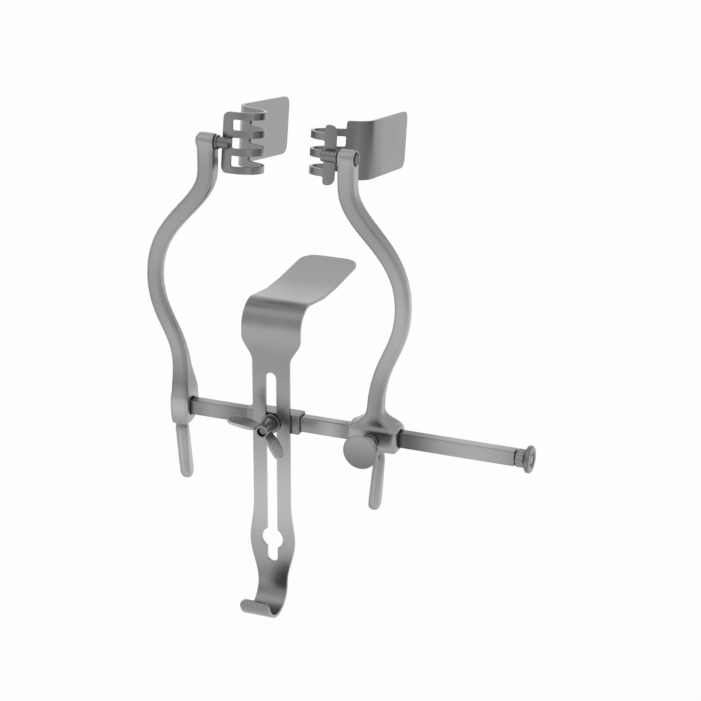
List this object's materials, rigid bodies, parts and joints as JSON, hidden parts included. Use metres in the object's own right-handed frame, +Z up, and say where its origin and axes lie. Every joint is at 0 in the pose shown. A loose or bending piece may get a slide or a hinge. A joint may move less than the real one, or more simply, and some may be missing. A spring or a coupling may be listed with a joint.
{
  "type": "bladder retractor",
  "caption": "Self-retaining bladder retractor: cross bar with a fixed and a sliding bowed arm, swivelling side blades, and a slotted centre blade clamped by a wing nut.",
  "frame": {"origin": "flat outer end of the left foot, on the axis of the cross bar", "axes": "+X along the cross bar towards its end stop, +Y away from the surgeon into the wound, +Z up along the arms"},
  "size_m": [0.2086, 0.1266, 0.263],
  "materials": {
    "cross_bar": "satin, drawn along the bar",
    "end_stop_collar": "satin, turned",
    "end_stop_cap": "satin, turned",
    "left_arm": "matte blasted",
    "right_arm": "matte blasted",
    "clamp_pad": "turned",
    "thumb_knob": "satin, turned",
    "thumb_screw": "cut thread",
    "blade_carriage": "satin",
    "carriage_stud": "cut thread",
    "clamp_washer": "turned",
    "wing_nut": "satin",
    "central_blade": "satin sheet",
    "left_side_blade": "satin sheet",
    "left_pivot_pin": "turned",
    "left_pivot_washer": "turned",
    "left_pivot_screw": "turned",
    "right_side_blade": "satin sheet",
    "right_pivot_pin": "turned",
    "right_pivot_washer": "turned",
    "right_pivot_screw": "turned"
  },
  "bodies": {
    "frame": {"cross_bar": "cross_bar", "left_arm": "left_arm"},
    "end_stop": {"end_stop_collar": "end_stop_collar", "end_stop_cap": "end_stop_cap"},
    "sliding_arm": {"right_arm": "right_arm", "clamp_pad": "clamp_pad"},
    "thumb_screw_body": {"thumb_knob": "thumb_knob", "thumb_screw": "thumb_screw"},
    "carriage": {"blade_carriage": "blade_carriage", "carriage_stud": "carriage_stud", "clamp_washer": "clamp_washer"},
    "wing_nut_body": {"wing_nut": "wing_nut"},
    "centre_blade": {"central_blade": "central_blade"},
    "left_head": {"left_side_blade": "left_side_blade", "left_pivot_pin": "left_pivot_pin", "left_pivot_washer": "left_pivot_washer", "left_pivot_screw": "left_pivot_screw"},
    "right_head": {"right_side_blade": "right_side_blade", "right_pivot_pin": "right_pivot_pin", "right_pivot_washer": "right_pivot_washer", "right_pivot_screw": "right_pivot_screw"}
  },
  "joints": [
    {"name": "right_arm_slide", "type": "slide", "parent": "frame", "child": "sliding_arm", "axis": [1, 0, 0], "range_m": [-0.023, 0.058]},
    {"name": "thumb_screw_turn", "type": "hinge", "parent": "sliding_arm", "child": "thumb_screw_body", "pos_m": [0.11275, -0.012, 0], "axis": [0, -1, 0], "range_deg": [0, 720]},
    {"name": "carriage_slide", "type": "slide", "parent": "frame", "child": "carriage", "axis": [1, 0, 0], "range_m": [-0.026, 0.003]},
    {"name": "wing_nut_turn", "type": "hinge", "parent": "carriage", "child": "wing_nut_body", "pos_m": [0.0574, -0.012, 0], "axis": [0, -1, 0], "range_deg": [0, 720]},
    {"name": "centre_blade_slide", "type": "slide", "parent": "carriage", "child": "centre_blade", "axis": [0, 0, 1], "range_m": [-0.024, 0.038]},
    {"name": "left_blade_swivel", "type": "hinge", "parent": "frame", "child": "left_head", "pos_m": [0.0214, 0, 0.1445], "axis": [1, 0, 0], "range_deg": [-8, 80]},
    {"name": "right_blade_swivel", "type": "hinge", "parent": "sliding_arm", "child": "right_head", "pos_m": [0.09655, 0, 0.1439], "axis": [1, 0, 0], "range_deg": [-8, 80]},
    {"name": "end_stop_turn", "type": "hinge", "parent": "frame", "child": "end_stop", "pos_m": [0.18955, 0, 0], "axis": [1, 0, 0], "range_deg": [0, 720]}
  ]
}
